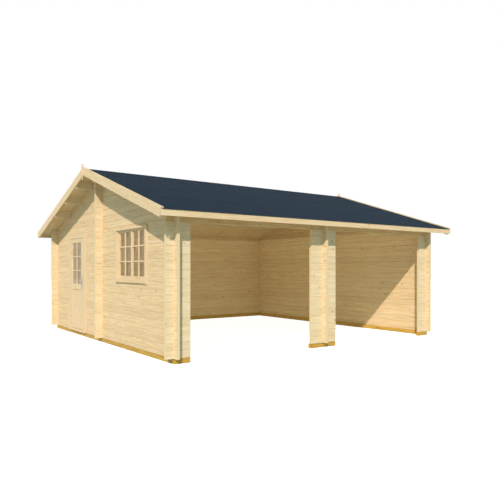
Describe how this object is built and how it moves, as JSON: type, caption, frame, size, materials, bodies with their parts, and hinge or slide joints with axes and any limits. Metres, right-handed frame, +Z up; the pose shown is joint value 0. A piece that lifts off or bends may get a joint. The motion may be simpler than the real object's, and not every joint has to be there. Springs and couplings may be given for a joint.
{
  "type": "log cabin",
  "caption": "Open-fronted two-bay timber log cabin with a gabled felt roof, log posts between the bays, a part-glazed side door that opens outwards and a side window",
  "frame": {"origin": "centre of the plan at ground level, under the ground beams", "axes": "+X along the ridge, +Y from the open front to the back wall, +Z up"},
  "size_m": [6.432, 6.256, 3.214],
  "materials": {
    "log": "planed softwood, unpainted",
    "treated_beam": "sawn, pressure treated",
    "roof_timber": "planed softwood, unpainted",
    "roof_felt": "mineral-faced bitumen felt, matt",
    "trim_board": "planed softwood, unpainted",
    "joinery": "planed softwood, unpainted",
    "glazing": "clear, smooth",
    "ironmongery": "satin"
  },
  "bodies": {
    "cabin": {"wall_left_rear": "log", "wall_left_lower": "log", "wall_left_middle": "log", "wall_left_front": "log", "wall_left_head": "log", "wall_left_gable": "log", "wall_right": "log", "wall_right_gable": "log", "wall_back": "log", "post_front_left": "log", "post_front_middle": "log", "post_front_right": "log", "post_cross": "log", "lintel_front": "log", "stiffener_left": "log", "stiffener_right": "log", "foundation_left": "treated_beam", "foundation_right": "treated_beam", "foundation_back": "treated_beam", "foundation_front": "treated_beam", "purlin_ridge": "roof_timber", "purlins_front": "roof_timber", "purlins_rear": "roof_timber", "roof_deck_front": "roof_timber", "roof_deck_rear": "roof_timber", "roof_felt": "roof_felt", "fascia_front": "trim_board", "fascia_rear": "trim_board", "barge_left": "trim_board", "barge_right": "trim_board", "cap_left": "trim_board", "cap_right": "trim_board", "finial_left": "trim_board", "finial_right": "trim_board", "door_frame": "joinery", "door_trim": "joinery", "window_frame": "joinery", "window_sashes": "joinery", "window_trim": "joinery", "window_glass": "glazing", "jamb_hinges": "ironmongery"},
    "side_door": {"door_leaf": "joinery", "door_glass": "glazing", "door_handle": "ironmongery", "door_hinges": "ironmongery"}
  },
  "joints": [
    {"name": "side_door_hinge", "type": "hinge", "parent": "cabin", "child": "side_door", "pos_m": [-2.881, 1.7865, 1.05], "axis": [0, 0, -1], "range_deg": [0, 110]}
  ]
}
